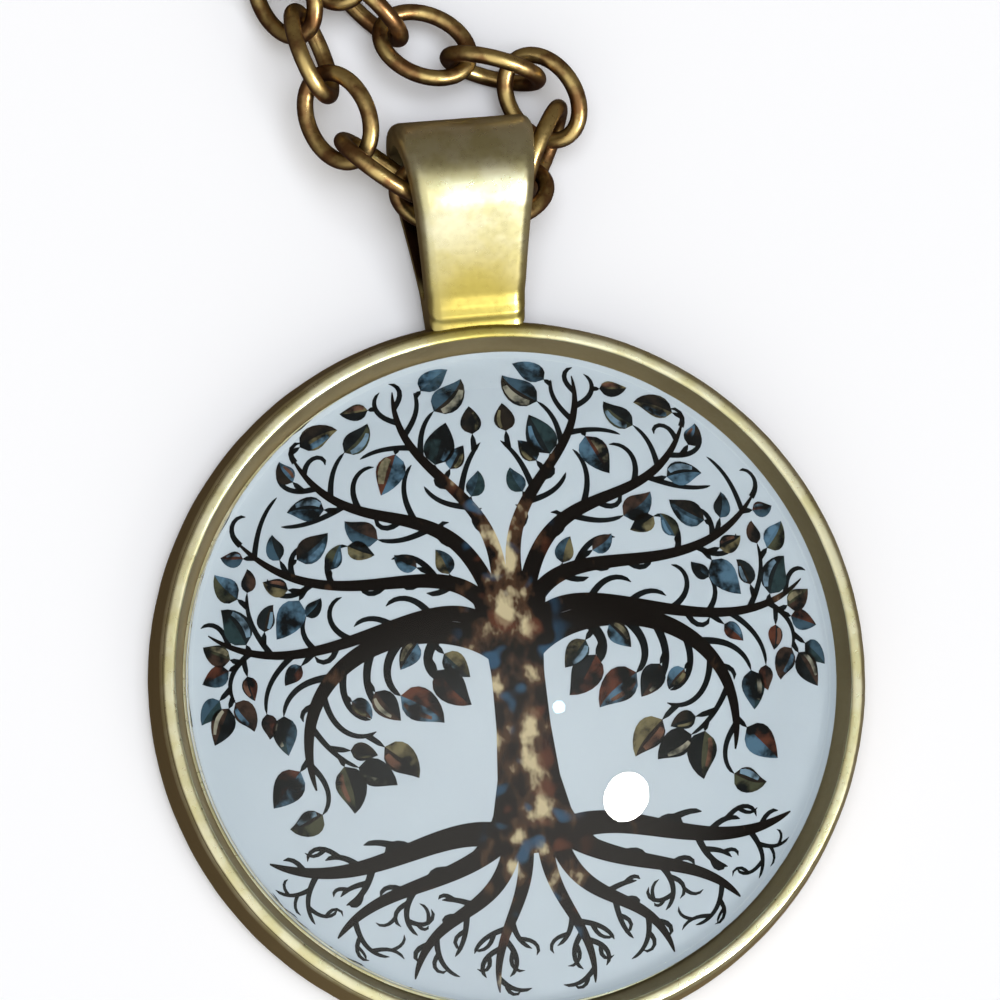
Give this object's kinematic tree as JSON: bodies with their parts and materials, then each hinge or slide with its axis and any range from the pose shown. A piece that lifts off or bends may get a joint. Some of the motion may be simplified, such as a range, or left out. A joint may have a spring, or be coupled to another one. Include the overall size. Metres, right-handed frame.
{
  "type": "tree of life pendant",
  "caption": "Round glass-domed picture pendant with a tapered bail on a whole loop of cable chain, lying on its back.",
  "frame": {"origin": "centre of the tray's flat back, on the surface that the pendant and its chain lie on", "axes": "+Z out of the tray through the glass dome, +Y from the tray to the bail, +X to the right seen from the front"},
  "size_m": [0.1247, 0.2022, 0.0068],
  "materials": {
    "setting_metal": "antique plated, soft gloss",
    "chain_metal": "antique plated, dark in the hollows",
    "dome_glass": "polished",
    "print": "printed paper sealed under the glass"
  },
  "bodies": {
    "root": {"setting": "setting_metal", "picture_disc": "print", "glass_dome": "dome_glass", "chain": "chain_metal", "clasp": "chain_metal"}
  },
  "joints": []
}
